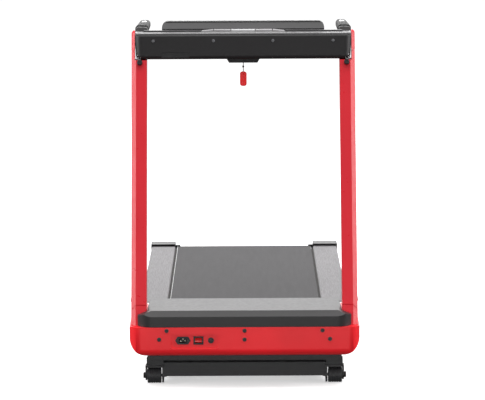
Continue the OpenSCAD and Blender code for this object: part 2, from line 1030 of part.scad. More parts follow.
// steel plates inside the bar's ends, each with a lug down into the upright for the tie rod
module console_plates()
    color(steel)
        both_sides() {
            difference() {
                push_x(plate_x0, plate_x1 - 0.3) {
                    translate([head_y, head_z])
                        circle(10);
                    translate([head_y + rod_dy, head_z + rod_dz])
                        circle(8);
                    polygon([
                        [head_y, head_z + 10], [head_y + 50, head_z + 12], [head_y + 50, head_z - 8],
                        [head_y + rod_dy + 8, head_z + rod_dz], [head_y + rod_dy - 8, head_z + rod_dz],
                        [head_y - 10, head_z]
                    ]);
                }
                rod_x(head_bolt_r + fit, 300, 400, head_y, head_z);
            }
            rod_x(rod_pin_r, rod_x - 6, plate_x1 - 0.3, head_y + rod_dy, head_z + rod_dz);
            box(plate_x0 - 20, plate_x0 + eps, head_y + 40, head_y + 46, head_z - 8, head_z + 12);
        }

module console_cover()
    color(black)
        difference() {
            box(-bar_half + 2, bar_half - 2, face_y + 4, bar_back, bar_top + 0.2, bar_top + cover_t);
            both_sides()
                box(groove_x0, groove_x1, groove_y, groove_y + groove_w, bar_top, bar_top + 10);
        }

module console_screws()
    color(black)
        both_sides()
            for (x = console_screw_x) {
                rod_y(5, face_y - 1.2, face_y, x, console_screw_z);
                rod_y(2.5, face_y - eps, face_y + 12, x, console_screw_z);
            }

module console_trim()
    color([0.75, 0.75, 0.76])
        push_y(face_y + 78, face_y + 108)
            polygon([
                [-137, bar_top + cover_t], [-97, bar_top + cover_t + 10],
                [97, bar_top + cover_t + 10], [137, bar_top + cover_t]
            ]);

// dash profile in Y-Z shrunk by t
module dash_profile(t)
    polygon([
        [bar_back + 0.4 + t, console_z + 14 + t], [bar_back + 0.4 + t, 1078],
        [crest_y - 22, crest_z - t], [crest_y, crest_z - t], [dash_back - t, dash_low_z - t * 0.5],
        [dash_back - t, dash_low_z - 14 + t], [bar_back + 40, console_z + 14 + t]
    ]);

// dash with its top corners rounded, shrunk by t
module dash_solid(t)
    intersection() {
        push_x(-dash_half + t, dash_half - t)
            dash_profile(t);
        push_y(bar_back, dash_back)
            translate([-dash_half + t, 0])
                round_rect(2 * (dash_half - t), crest_z - t, dash_corner - t);
    }

// moves children onto the sloping dash: x across, y down the slope toward the user, z out of it
module on_dash()
    translate([0, crest_y, crest_z])
        rotate([-dash_angle, 0, 0])
            children();

lens_half = 105;
lens_y0 = 14;
lens_y1 = 74;
dash_button_r = 11;
dash_button_x = 150;
dash_button_y = 60;

module dash_housing()
    color(black)
        difference() {
            dash_solid(0);
            dash_solid(wall);
            on_dash() {
                box(-lens_half - 0.3, lens_half + 0.3, lens_y0 - 0.3, lens_y1 + 0.3, -1.5, 5);
                for (x = [-dash_button_x, dash_button_x])
                    translate([x, dash_button_y, -20])
                        cylinder(r = dash_button_r + 0.05, h = 40);
            }
        }

module display_lens()
    color([0.05, 0.06, 0.08])
        on_dash()
            box(-lens_half, lens_half, lens_y0, lens_y1, -1.5, 0.6);

module dash_button(x)
    on_dash()
        translate([x, dash_button_y, -6])
            cylinder(r = dash_button_r, h = 9);

module start_button()
    color([0.15, 0.60, 0.25])
        dash_button(dash_button_x);

module stop_button()
    color(red)
        dash_button(-dash_button_x);

// light collars between the console bar and the grips
module handle_necks()
    color([0.60, 0.60, 0.60])
        both_sides()
            push_y(bar_back, grip_y0)
                translate([handle_x - handle_w / 2 + 1.5, handle_z - 27])
                    round_rect(handle_w - 3, 40, 8);

module handle(side)
    color(black)
        on_side(side)
            difference() {
                push_y(grip_y0, grip_y0 + grip_l)
                    translate([handle_x - handle_w / 2, handle_z - handle_h / 2 + 3])
                        round_rect(handle_w, handle_h, 12);
                box(handle_x - rocker_half - 0.5, handle_x + rocker_half + 0.5,
                    rocker_y - 16, rocker_y + 16,
                    handle_z + 6, handle_z + 30);
            }

module handle_left() handle("left");
module handle_right() handle("right");

module handle_rocker(side)
    color([0.90, 0.90, 0.90])
        on_side(side)
            push_x(handle_x - rocker_half, handle_x + rocker_half)
                intersection() {
                    polygon([
                        [rocker_y - 15, handle_z + 19], [rocker_y, handle_z + 18],
                        [rocker_y + 15, handle_z + 19], [rocker_y + 15, handle_z + 14],
                        [rocker_y, handle_z + 9], [rocker_y - 15, handle_z + 14]
                    ]);
                    translate([rocker_y, handle_z + 12])
                        circle(15.5);
                }

module speed_rocker() handle_rocker("right");
module incline_rocker() handle_rocker("left");

// ---------- safety key ----------

module key_housing()
    color(black)
        difference() {
            push_y(key_y - 18, key_y + 24)
                polygon([
                    [-54, console_z - 0.3], [54, console_z - 0.3],
                    [46.5, cord_top], [-46.5, cord_top]
                ]);
            translate([0, key_y, cord_top - 1])
                cylinder(r = 5, h = 1 + cord_in);
        }

module safety_cord()
    color(black)
        translate([0, key_y, key_top]) {
            cylinder(r = cord_r, h = cord_l + cord_in - cord_r);
            translate([0, 0, cord_l + cord_in - cord_r])
                sphere(cord_r);
        }

module cord_bead()
    color(black)
        translate([0, key_y, cord_top - 14 - 3])
            difference() {
                cylinder(r = 3.2, h = 6);
                translate([0, 0, -1])
                    cylinder(r = cord_r, h = 8);
            }

module safety_key()
    color([0.92, 0.05, 0.08])
        push_y(key_y - key_t / 2, key_y + key_t / 2)
            translate([-key_w / 2, key_top - key_h])
                round_rect(key_w, key_h, 8);

place() base_frame();
place() base_shell();
place() belly_pan();
place() motor_hood();
place() upright_feet();
place() pivot_pins();
place() deck_board();
place() deck_cushions();
place() rail_left();
place() rail_right();
place() rear_caps();
place() roller_guards();
place() running_belt();
place() front_roller();
place() rear_roller();
place() roller_axles();
place() tension_bolts();
place() drive_motor();
place() motor_rotor();
place() drive_belt();
place() motor_controller();
place() inlet_socket();
place() inlet_pins();
place() switch_frame();
place() rocker_switch();
place() breaker_body();
place() breaker_button();
place() shell_screws();
place() rear_feet();
place() lift_frame();
place() wheel_bolts();
place() wheel_left();
place() wheel_right();
place() lift_motor();
place() lift_screw();
place() upright_left();
place() upright_right();
place() tie_rod_left();
place() tie_rod_right();
place() knob_left();
place() knob_right();
place() head_bolts();
place() console_bar();
place() console_cover();
place() console_plates();
place() console_screws();
place() console_trim();
place() dash_housing();
place() display_lens();
place() start_button();
place() stop_button();
place() handle_necks();
place() handle_left();
place() handle_right();
place() speed_rocker();
place() incline_rocker();
place() key_housing();
place() safety_cord();
place() cord_bead();
place() safety_key();
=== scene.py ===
import json
import math
import bmesh
import bpy
from mathutils import Matrix, Vector


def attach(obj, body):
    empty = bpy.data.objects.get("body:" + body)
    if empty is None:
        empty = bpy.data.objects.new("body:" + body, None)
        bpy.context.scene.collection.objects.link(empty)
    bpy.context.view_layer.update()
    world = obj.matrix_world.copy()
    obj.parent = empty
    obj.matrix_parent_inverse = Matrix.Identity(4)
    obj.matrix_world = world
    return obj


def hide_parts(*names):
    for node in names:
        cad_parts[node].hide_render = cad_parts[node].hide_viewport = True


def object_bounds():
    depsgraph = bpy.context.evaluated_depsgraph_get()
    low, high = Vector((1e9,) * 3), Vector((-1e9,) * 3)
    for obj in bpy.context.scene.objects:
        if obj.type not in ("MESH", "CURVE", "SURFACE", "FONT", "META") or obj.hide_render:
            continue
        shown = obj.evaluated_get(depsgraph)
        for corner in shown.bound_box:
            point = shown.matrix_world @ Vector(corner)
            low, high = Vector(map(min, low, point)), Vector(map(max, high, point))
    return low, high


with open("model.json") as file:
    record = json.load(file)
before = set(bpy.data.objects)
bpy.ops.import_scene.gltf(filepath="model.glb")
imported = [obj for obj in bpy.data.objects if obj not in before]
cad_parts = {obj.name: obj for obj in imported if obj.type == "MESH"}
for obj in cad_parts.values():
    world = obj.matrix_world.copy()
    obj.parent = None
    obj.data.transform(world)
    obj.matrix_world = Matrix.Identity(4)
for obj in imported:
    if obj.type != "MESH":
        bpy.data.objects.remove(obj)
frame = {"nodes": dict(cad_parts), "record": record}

CAD_BOX = [list(corner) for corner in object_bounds()]
NODES = frame["nodes"]
JOINTS = {joint["name"]: joint for joint in frame["record"]["behaviour"]["joints"]}
SLOTS = {part["node"]: part["material_slot"] for part in frame["record"]["subparts"]}
BODIES = {
    node: body for body, nodes in frame["record"]["behaviour"]["bodies"].items() for node in nodes
}
MM = 0.001

# ---------- the machine's own frame: level deck, millimetres, y = 0 at the front shell ----------

# the reset button slides straight back along the deck, so its axis gives the slope
BACKWARD = Vector(JOINTS["breaker_reset"]["axis"])
SLOPE = math.atan2(-BACKWARD.z, BACKWARD.y)
MOTOR_YZ = (95.0, 148.0)
MOTOR_AT = Vector(JOINTS["motor_spin"]["pos_m"])
TURN = Matrix.Rotation(-SLOPE, 4, "X")
MACHINE = (
    Matrix.Translation(MOTOR_AT) @ TURN
    @ Matrix.Translation(Vector((0, -MOTOR_YZ[0], -MOTOR_YZ[1])) * MM) @ Matrix.Scale(MM, 4)
)


def at(x, y, z):
    """A point of the machine's frame, in the row frame's metres."""
    return MACHINE @ Vector((x, y, z))


def corners_of(node):
    """A CAD node's vertices in the machine's frame."""
    return [MACHINE.inverted() @ vertex.co for vertex in NODES[node].data.vertices]


def extremes(points):
    """Lowest and highest corner of the box round some points."""
    low = Vector([min(point[i] for point in points) for i in range(3)])
    high = Vector([max(point[i] for point in points) for i in range(3)])
    return low, high


def span(node, half=None):
    """Lowest and highest corner of a CAD node in the machine's frame, or of its left or right half."""
    points = corners_of(node)
    if half:
        points = [point for point in points if (point.x > 0) == (half == "right")]
    return extremes(points)


def side_box(side, x, y, z):
    """A box on the left (-1) or right (1), from its ranges in x away from the middle, y and z."""
    x0, x1 = sorted((side * x[0], side * x[1]))
    return (x0, y[0], z[0]), (x1, y[1], z[1])


def both_boxes(x, y, z):
    return [side_box(side, x, y, z) for side in (-1, 1)]


# ---------- camera, light and floor ----------

CAMERA_AHEAD = 9.395
CAMERA_HEIGHT = 2.261
CAMERA_LENS = 222.7
CAMERA_SHIFT = -0.0029
LOOK_DOWN = math.radians(9.91)
ROLL = math.radians(-0.28)


def make_camera():
    """Above eye level, straight in front of the motor end, through a long lens."""
    camera = bpy.data.objects.new("camera", bpy.data.cameras.new("camera"))
    bpy.context.scene.collection.objects.link(camera)
    camera.location = (0, CAD_BOX[0][1] - CAMERA_AHEAD, CAMERA_HEIGHT)
    tilt = Matrix.Rotation(math.radians(90) - LOOK_DOWN, 3, "X")
    camera.rotation_euler = (tilt @ Matrix.Rotation(ROLL, 3, "Z")).to_euler()
    camera.data.sensor_width = 36
    camera.data.lens = CAMERA_LENS
    camera.data.shift_x = CAMERA_SHIFT
    camera.data.clip_end = 100
    bpy.context.scene.camera = camera
    bpy.context.scene.view_settings.view_transform = "Standard"


def make_area(name, spot, aim, size, power, spread=math.pi):
    light = bpy.data.objects.new(name, bpy.data.lights.new(name, "AREA"))
    bpy.context.scene.collection.objects.link(light)
    light.data.shape = "RECTANGLE"
    light.data.size, light.data.size_y = size
    light.data.energy = power
    light.data.spread = spread
    light.location = spot
    light.rotation_euler = (Vector(aim) - Vector(spot)).to_track_quat("-Z", "Y").to_euler()
    light.visible_camera = False


def make_lights():
    """Soft boxes overhead, on each side and low in front, a bright wall behind, and an even fill."""
    world = bpy.data.worlds.new("studio")
    bpy.context.scene.world = world
    world.use_nodes = True
    tree = world.node_tree
    coords = tree.nodes.new("ShaderNodeTexCoord")
    split = tree.nodes.new("ShaderNodeSeparateXYZ")
    height = tree.nodes.new("ShaderNodeMapRange")
    tree.links.new(coords.outputs["Generated"], split.inputs["Vector"])
    tree.links.new(split.outputs["Z"], height.inputs["Value"])
    for socket, value in (("From Min", -0.25), ("From Max", 0.15), ("To Min", 0.16), ("To Max", 0.6)):
        height.inputs[socket].default_value = value
    background = tree.nodes["Background"]
    background.inputs["Color"].default_value = (1, 1, 1, 1)
    tree.links.new(height.outputs["Result"], background.inputs["Strength"])
    make_area("overhead", (0, 0.2, 4.2), (0, 0.2, 0), (5.0, 5.0), 260)
    make_area("left_box", (-4.5, -0.5, 1.6), (0, 0, 0.6), (3.0, 2.4), 120)
    make_area("right_box", (4.5, -0.5, 1.6), (0, 0, 0.6), (3.0, 2.4), 120)
    make_area("back_wall", (0, 5.0, 2.2), (0, 0, 0.7), (8.0, 2.4), 190)
    make_area("front_box", (0, -4.0, 0.4), (0, -0.8, 0.0), (3.5, 0.6), 3.4, math.radians(45))


def make_floor():
    """A white table that glows a little, so that shadows on it stay pale."""
    half = 30
    corners = [(-half, -half, 0), (half, -half, 0), (half, half, 0), (-half, half, 0)]
    mesh = bpy.data.meshes.new("floor")
    mesh.from_pydata(corners, [], [(0, 1, 2, 3)])
    floor = bpy.data.objects.new("floor", mesh)
    bpy.context.scene.collection.objects.link(floor)
    paint = bpy.data.materials.new("floor_paint")
    paint.use_nodes = True
    shader = paint.node_tree.nodes["Principled BSDF"]
    shader.inputs["Base Color"].default_value = (0.85, 0.85, 0.85, 1)
    shader.inputs["Roughness"].default_value = 0.9
    shader.inputs["Specular IOR Level"].default_value = 0.1
    shader.inputs["Emission Color"].default_value = (1, 1, 1, 1)
    shader.inputs["Emission Strength"].default_value = 0.5
    mesh.materials.append(paint)
    floor.visible_diffuse = floor.visible_glossy = False


# ---------- materials ----------

class Paint:
    """A node material being built: nodes are added by name and linked by socket."""

    def __init__(self, name):
        self.material = bpy.data.materials.new(name)
        self.material.use_nodes = True
        self.tree = self.material.node_tree
        self.shader = self.tree.nodes["Principled BSDF"]
        self.coords = self.add("ShaderNodeTexCoord").outputs["Object"]

    def add(self, kind, **settings):
        node = self.tree.nodes.new(kind)
        for key, value in settings.items():
            setattr(node, key, value)
        return node

    def link(self, source, target):
        self.tree.links.new(source, target)

    def stretched(self, scale):
        node = self.add("ShaderNodeMapping")
        node.inputs["Scale"].default_value = scale
        self.link(self.coords, node.inputs["Vector"])
        return node.outputs["Vector"]

    def noise(self, scale, detail=2.0, rough=0.5, stretch=None):
        node = self.add("ShaderNodeTexNoise")
        node.inputs["Scale"].default_value = scale
        node.inputs["Detail"].default_value = detail
        node.inputs["Roughness"].default_value = rough
        self.link(self.stretched(stretch) if stretch else self.coords, node.inputs["Vector"])
        return node.outputs["Fac"]

    def cells(self, scale, stretch=None):
        node = self.add("ShaderNodeTexVoronoi")
        node.inputs["Scale"].default_value = scale
        self.link(self.stretched(stretch) if stretch else self.coords, node.inputs["Vector"])
        return node.outputs["Distance"]

    def ramp(self, value, low, high, start=0.0, end=1.0):
        node = self.add("ShaderNodeMapRange")
        node.inputs["From Min"].default_value = start
        node.inputs["From Max"].default_value = end
        node.inputs["To Min"].default_value = low
        node.inputs["To Max"].default_value = high
        self.link(value, node.inputs["Value"])
        return node.outputs["Result"]

    def mix(self, amount, first, second):
        node = self.add("ShaderNodeMix", data_type="RGBA")
        self.link(amount, node.inputs["Factor"])
        for socket, value in ((node.inputs["A"], first), (node.inputs["B"], second)):
            if isinstance(value, tuple):
                socket.default_value = (*value, 1)
            else:
                self.link(value, socket)
        return node.outputs["Result"]

    def edges(self, radius, low=0.02, high=0.2):
        """1 on outer edges, where wear and a painted highlight are laid, 0 on open faces."""
        bevel = self.add("ShaderNodeBevel", samples=4)
        bevel.inputs["Radius"].default_value = radius
        geometry = self.add("ShaderNodeNewGeometry")
        dot = self.add("ShaderNodeVectorMath", operation="DOT_PRODUCT")
        self.link(bevel.outputs["Normal"], dot.inputs[0])
        self.link(geometry.outputs["Normal"], dot.inputs[1])
        return self.ramp(dot.outputs["Value"], 1.0, 0.0, 1 - high, 1 - low)

    def bump(self, height, strength, distance):
        node = self.add("ShaderNodeBump")
        node.inputs["Strength"].default_value = strength
        node.inputs["Distance"].default_value = distance
        self.link(height, node.inputs["Height"])
        self.link(node.outputs["Normal"], self.shader.inputs["Normal"])

    def colour(self, source):
        self.link(source, self.shader.inputs["Base Color"])

    def rough(self, source):
        self.link(source, self.shader.inputs["Roughness"])

    def set(self, **values):
        for key, value in values.items():
            self.shader.inputs[key.replace("_", " ")].default_value = value


def shade(colour, factor):
    return tuple(min(1.0, channel * factor) for channel in colour)


def moulded(name, colour, rough=0.45, grain=900, depth=0.00006, wear_and_highlight_radius=0.0006):
    """Moulded plastic: fine spark-eroded grain, slight tone drift, and outer edges lightened partly as
    rubbing and partly as a painted highlight.
    """
    paint = Paint(name)
    drift = paint.noise(6, 3)
    tone = paint.mix(paint.ramp(drift, 0, 1, 0.3, 0.7), shade(colour, 0.93), shade(colour, 1.07))
    # outer edges lightened: partly rubbing, partly a painted highlight
    rubbed_and_highlit = paint.mix(paint.edges(wear_and_highlight_radius), tone, shade(colour, 1.35))
    paint.colour(rubbed_and_highlit)
    paint.rough(paint.ramp(paint.noise(90, 4), rough - 0.03, rough + 0.03, 0.3, 0.7))
    paint.bump(paint.cells(grain), 0.35, depth)
    paint.set(Specular_IOR_Level=0.3)
    return paint.material


def painted(name, colour, rough=0.32):
    """Powder-coated steel: faint orange peel, tiny flecks, and edges lightened partly as wear and
    partly as a painted highlight.
    """
    paint = Paint(name)
    drift = paint.noise(5, 2)
    tone = paint.mix(paint.ramp(drift, 0, 1, 0.3, 0.7), shade(colour, 0.95), shade(colour, 1.05))
    # edges lightened: partly wear, partly a painted highlight
    worn = paint.mix(paint.edges(0.0008), tone, shade(colour, 1.25))
    paint.colour(worn)
    paint.rough(paint.ramp(paint.noise(60, 4), rough - 0.05, rough + 0.07, 0.3, 0.7))
    paint.bump(paint.noise(420, 2), 0.12, 0.0002)
    paint.set(Specular_IOR_Level=0.35)
    return paint.material


def metal(name, colour, rough=0.3, along=(1, 60, 60)):
    """Bright steel with fine turning marks."""
    paint = Paint(name)
    marks = paint.noise(60, 6, 0.7, stretch=along)
    paint.colour(paint.mix(paint.ramp(marks, 0, 1, 0.3, 0.7), shade(colour, 0.85), shade(colour, 1.1)))
    paint.rough(paint.ramp(marks, rough - 0.08, rough + 0.12, 0.3, 0.7))
    paint.bump(marks, 0.08, 0.0001)
    paint.set(Metallic=1.0)
    return paint.material


def rubbery(name, colour, rough=0.75, scale=500):
    """Dull rubber or foam with a little dust."""
    paint = Paint(name)
    dust = paint.noise(30, 6, 0.65)
    paint.colour(paint.mix(paint.ramp(dust, 0, 1, 0.35, 0.75), colour, shade(colour, 1.5)))
    paint.rough(paint.ramp(dust, rough - 0.1, rough + 0.1, 0.3, 0.7))
    paint.bump(paint.noise(scale, 3), 0.3, 0.0001)
    return paint.material


WEAVE = 1600


def belt_weave(name, colour):
    """PVC running belt: fine diamond emboss over faint lengthwise scuffs."""
    paint = Paint(name)
    split = paint.add("ShaderNodeSeparateXYZ")
    paint.link(paint.coords, split.inputs["Vector"])
    waves = []
    for sign in (1, -1):
        total = paint.add("ShaderNodeMath", operation="MULTIPLY_ADD")
        paint.link(split.outputs["Y"], total.inputs[0])
        total.inputs[1].default_value = sign
        paint.link(split.outputs["X"], total.inputs[2])
        sine = paint.add("ShaderNodeMath", operation="SINE")
        scale = paint.add("ShaderNodeMath", operation="MULTIPLY")
        paint.link(total.outputs[0], scale.inputs[0])
        scale.inputs[1].default_value = WEAVE
        paint.link(scale.outputs[0], sine.inputs[0])
        waves.append(sine.outputs[0])
    weave = paint.add("ShaderNodeMath", operation="MULTIPLY")
    paint.link(waves[0], weave.inputs[0])
    paint.link(waves[1], weave.inputs[1])
    speck = paint.noise(700, 2)
    scuff = paint.noise(24, 5, 0.6, stretch=(3, 0.25, 1))
    tone = paint.mix(paint.ramp(speck, 0, 1, 0.35, 0.65), shade(colour, 0.8), shade(colour, 1.25))
    worn = paint.mix(paint.ramp(scuff, 0, 0.3, 0.45, 0.75), tone, shade(colour, 1.2))
    paint.colour(worn)
    paint.rough(paint.ramp(scuff, 0.62, 0.66, 0.3, 0.7))
    paint.bump(weave.outputs[0], 0.4, 0.0002)
    paint.set(Specular_IOR_Level=0.14)
    return paint.material


def rail_grain(name, colour):
    """Foot rail: fine lengthwise grain."""
    paint = Paint(name)
    grain = paint.noise(90, 4, 0.6, stretch=(6, 0.05, 6))
    paint.colour(paint.mix(paint.ramp(grain, 0, 1, 0.4, 0.6), shade(colour, 0.7), shade(colour, 1.4)))
    paint.rough(paint.ramp(grain, 0.5, 0.6, 0.3, 0.7))
    paint.bump(grain, 0.25, 0.0004)
    paint.set(Specular_IOR_Level=0.3)
    return paint.material


def board_edge(name, colour):
    """Dark coated board with a faint grain."""
    paint = Paint(name)
    grain = paint.noise(40, 5, 0.6, stretch=(1, 0.1, 12))
    paint.colour(paint.mix(paint.ramp(grain, 0, 1, 0.3, 0.7), shade(colour, 0.75), shade(colour, 1.15)))
    paint.rough(paint.ramp(grain, 0.5, 0.7))
    paint.bump(grain, 0.2, 0.0003)
    paint.set(Specular_IOR_Level=0.05)
    return paint.material


def smoked_lens(name, colour):
    """Glossy dark cover of the display, slightly smeared."""
    paint = Paint(name)
    smear = paint.noise(14, 4)
    paint.colour(paint.mix(paint.ramp(smear, 0, 1, 0.3, 0.7), colour, shade(colour, 1.4)))
    paint.rough(paint.ramp(smear, 0.05, 0.16, 0.3, 0.7))
    paint.set(Coat_Weight=0.6, Coat_Roughness=0.05)
    return paint.material


def circuit_board(name, colour):
    """Green board with lighter tracks."""
    paint = Paint(name)
    tracks = paint.cells(180)
    paint.colour(paint.mix(paint.ramp(tracks, 0, 1, 0.2, 0.5), colour, shade(colour, 1.8)))
    paint.rough(paint.ramp(paint.noise(50), 0.35, 0.55, 0.3, 0.7))
    paint.bump(tracks, 0.3, 0.0002)
    return paint.material


LOOKS = {
    "red_paint": painted("red_paint", (0.62, 0.014, 0.026)),
    "red_shell": moulded("red_shell", (0.86, 0.014, 0.022), 0.34, 1200, 0.00003, 0.0005),
    "black_shell": moulded("black_shell", (0.022, 0.021, 0.022), 0.42),
    "black_metal": painted("black_metal", (0.018, 0.018, 0.019), 0.4),
    "grey_frame": painted("grey_frame", (0.10, 0.10, 0.105), 0.45),
    "rail_grey": rail_grain("rail_grey", (0.105, 0.10, 0.105)),
    "steel": metal("steel", (0.60, 0.61, 0.63)),
    "black_rubber": rubbery("black_rubber", (0.012, 0.012, 0.012)),
    "belt_fabric": belt_weave("belt_fabric", (0.033, 0.031, 0.033)),
    "board": board_edge("board", (0.020, 0.018, 0.016)),
    "motor_black": painted("motor_black", (0.015, 0.015, 0.016), 0.45),
    "circuit": circuit_board("circuit", (0.010, 0.085, 0.030)),
    "brass_pin": metal("brass_pin", (0.70, 0.64, 0.52), 0.25),
    "red_rocker": moulded("red_rocker", (0.62, 0.006, 0.006), 0.25, 1500, 0.00001),
    "wheel_plastic": moulded("wheel_plastic", (0.030, 0.030, 0.032), 0.5),
    "silver_trim": moulded("silver_trim", (0.62, 0.62, 0.63), 0.3, 1500, 0.00001),
    "lens": smoked_lens("lens", (0.006, 0.007, 0.010)),
    "green_button": moulded("green_button", (0.02, 0.32, 0.06), 0.3, 1500, 0.00001),
    "light_grey": moulded("light_grey", (0.34, 0.34, 0.34), 0.45),
    "foam": rubbery("foam", (0.022, 0.022, 0.022), 0.8, 900),
    "white_button": moulded("white_button", (0.75, 0.75, 0.75), 0.3, 1500, 0.00001),
    "key_red": moulded("key_red", (0.95, 0.004, 0.008), 0.28, 1500, 0.00001),
    "lip_grey": moulded("lip_grey", (0.30, 0.30, 0.30), 0.35),
    # light grey that paints the trim segments' top-edge highlight
    "trim_grey": moulded("trim_grey", (0.42, 0.41, 0.42), 0.3),
    "neck_grey": moulded("neck_grey", (0.10, 0.10, 0.10), 0.35),
    "screw_grey": metal("screw_grey", (0.16, 0.16, 0.17), 0.35),
    "edge_line": moulded("edge_line", (0.40, 0.40, 0.40), 0.5),
    "cover_grey": moulded("cover_grey", (0.075, 0.073, 0.076), 0.34),
}

# ---------- mesh tools ----------

SHARP = math.radians(32)
FLAT = math.radians(0.7)
WELD = 0.00002
LEAST_RADIUS = 0.2
LEFT_RIGHT = (("left", -1), ("right", 1))


def mark_sharp(bm):
    for edge in bm.edges:
        edge.smooth = len(edge.link_faces) != 2 or edge.calc_face_angle(0) < SHARP


def finish_mesh(bm, name, look, body, *replaced):
    """Makes the object, shades it, and hangs it on its body."""
    bmesh.ops.recalc_face_normals(bm, faces=bm.faces)
    for face in bm.faces:
        face.smooth = True
    mark_sharp(bm)
    mesh = bpy.data.meshes.new(name)
    bm.to_mesh(mesh)
    bm.free()
    piece = bpy.data.objects.new(name, mesh)
    bpy.context.scene.collection.objects.link(piece)
    mesh.materials.append(LOOKS[look])
    piece.modifiers.new("normals", "WEIGHTED_NORMAL").keep_sharp = True
    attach(piece, body)
    if replaced:
        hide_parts(*replaced)
    return piece


def softened(node, bevel, segments=3, look=None):
    """A CAD node's shape with its sharp edges rounded."""
    bm = bmesh.new()
    bm.from_mesh(NODES[node].data)
    bmesh.ops.remove_doubles(bm, verts=bm.verts, dist=WELD)
    bmesh.ops.dissolve_limit(bm, angle_limit=FLAT, verts=bm.verts, edges=bm.edges)
    sharp = [
        edge for edge in bm.edges
        if len(edge.link_faces) == 2 and edge.calc_face_angle(0) > SHARP
    ]
    bmesh.ops.bevel(bm, geom=sharp, offset=bevel * MM, segments=segments, profile=0.5,
                    affect="EDGES", clamp_overlap=True)
    return finish_mesh(bm, node + "_look", look or SLOTS[node], BODIES[node], node)


def loft(rings, bm=None):
    """Skin through rings of machine-frame points, closed at both ends."""
    bm = bm or bmesh.new()
    loops = [[bm.verts.new(at(*point)) for point in ring] for ring in rings]
    count = len(rings[0])
    for low, high in zip(loops, loops[1:]):
        for i in range(count):
            j = (i + 1) % count
            bm.faces.new((low[i], low[j], high[j], high[i]))
    bm.faces.new(loops[0])
    bm.faces.new(loops[-1])
    return bm


def rounded(a0, a1, b0, b1, radii, steps=6):
    """Outline of a rectangle; radii go low-low, high-low, high-high, low-high."""
    if not isinstance(radii, tuple):
        radii = (radii,) * 4
    corners = ((a0, b0, 1, 1, 180), (a1, b0, -1, 1, 270), (a1, b1, -1, -1, 0), (a0, b1, 1, -1, 90))
    points = []
    for (a, b, side_a, side_b, start), radius in zip(corners, radii):
        radius = max(radius, LEAST_RADIUS)
        for step in range(steps + 1):
            turn = math.radians(start + 90 * step / steps)
            points.append((a + side_a * radius + radius * math.cos(turn),
                           b + side_b * radius + radius * math.sin(turn)))
    return points


def stops(low, high, edge_low, edge_high, steps=5):
    """Places along an axis with the inset that rounds the edge at each."""
    places = []
    for step in range(steps + 1):
        turn = math.radians(90 * step / steps)
        places.append((low + edge_low * (1 - math.sin(turn)), edge_low * (1 - math.cos(turn))))
    places.reverse()
    for step in range(steps + 1):
        turn = math.radians(90 * step / steps)
        places.append((high - edge_high * (1 - math.sin(turn)), edge_high * (1 - math.cos(turn))))
    return places


def block(low, high, axis, radii, edges, bm=None):
    """Box with rounded corners round an axis and rounded edges at that axis's two ends."""
    i, j = {"x": (1, 2), "y": (0, 2), "z": (0, 1)}[axis]
    k = 3 - i - j
    if not isinstance(radii, tuple):
        radii = (radii,) * 4
    rings = []
    for place, inset in stops(low[k], high[k], *edges):
        inner = tuple(radius - inset for radius in radii)
        ring = []
        for a, b in rounded(low[i] + inset, high[i] - inset, low[j] + inset, high[j] - inset, inner):
            point = [0, 0, 0]
            point[i], point[j], point[k] = a, b, place
            ring.append(point)
        rings.append(ring)
    return loft(rings, bm)


def turned(profile, centre, axis, count=48, bm=None, lobes=0, depth=0):
    """Skin turned round an axis through centre; profile is (radius, place along the axis).

    lobes is the number of flutes pressed into it, and depth is how deep they are.
    """
    axis = Vector(axis).normalized()
    side = axis.orthogonal().normalized()
    up = axis.cross(side)
    rings = []
    for radius, place in profile:
        ring = []
        for step in range(count):
            turn = 2 * math.pi * step / count
            dip = depth * (0.5 - 0.5 * math.cos(lobes * turn)) if lobes and radius > depth else 0
            spoke = side * math.cos(turn) + up * math.sin(turn)
            ring.append(Vector(centre) + axis * place + spoke * (radius - dip))
        rings.append(ring)
    return loft(rings, bm)


def carve(piece, boxes, shapes=()):
    """Cuts machine-frame boxes, and any other closed shapes, out of a finished piece."""
    cutters = []
    blocks = [block(Vector(low), Vector(high), "z", 0.3, (0.2, 0.2)) for low, high in boxes]
    for bm in blocks + list(shapes):
        bmesh.ops.recalc_face_normals(bm, faces=bm.faces)
        mesh = bpy.data.meshes.new("cutter")
        bm.to_mesh(mesh)
        bm.free()
        cutter = bpy.data.objects.new("cutter", mesh)
        bpy.context.scene.collection.objects.link(cutter)
        cut = piece.modifiers.new("cut", "BOOLEAN")
        cut.operation, cut.solver, cut.object = "DIFFERENCE", "EXACT", cutter
        cutters.append(cutter)
    piece.modifiers.remove(piece.modifiers["normals"])
    graph = bpy.context.evaluated_depsgraph_get()
    mesh = bpy.data.meshes.new_from_object(piece.evaluated_get(graph))
    piece.modifiers.clear()
    bm = bmesh.new()
    bm.from_mesh(mesh)
    mark_sharp(bm)
    bm.to_mesh(mesh)
    bm.free()
    piece.data = mesh
    piece.modifiers.new("normals", "WEIGHTED_NORMAL").keep_sharp = True
    for cutter in cutters:
        bpy.data.objects.remove(cutter)
    return piece


# ---------- console ----------

BAR_LOW, BAR_HIGH = span("console_bar")
BAR_REACH = BAR_HIGH.x - 1.7
BAR_END_ROUND = 26
BAR_LEAN_IN = 3
BAR_CORNER = 14
# the tie rods' slots: x from the middle, y from the bar's front and z from its underside
ROD_SLOT = ((329, 350), (16, 66), (-5, 30))
EYE_SLOT = ((335.5, 345.5), (2, 20), (-5, 7))
# a shallow place for a label, with a blank plate in it
LABEL_X = (-268, -176)
LABEL_Z = (5, 24)
LABEL_DEPTH = 1.2
LABEL_GAP = 1.5


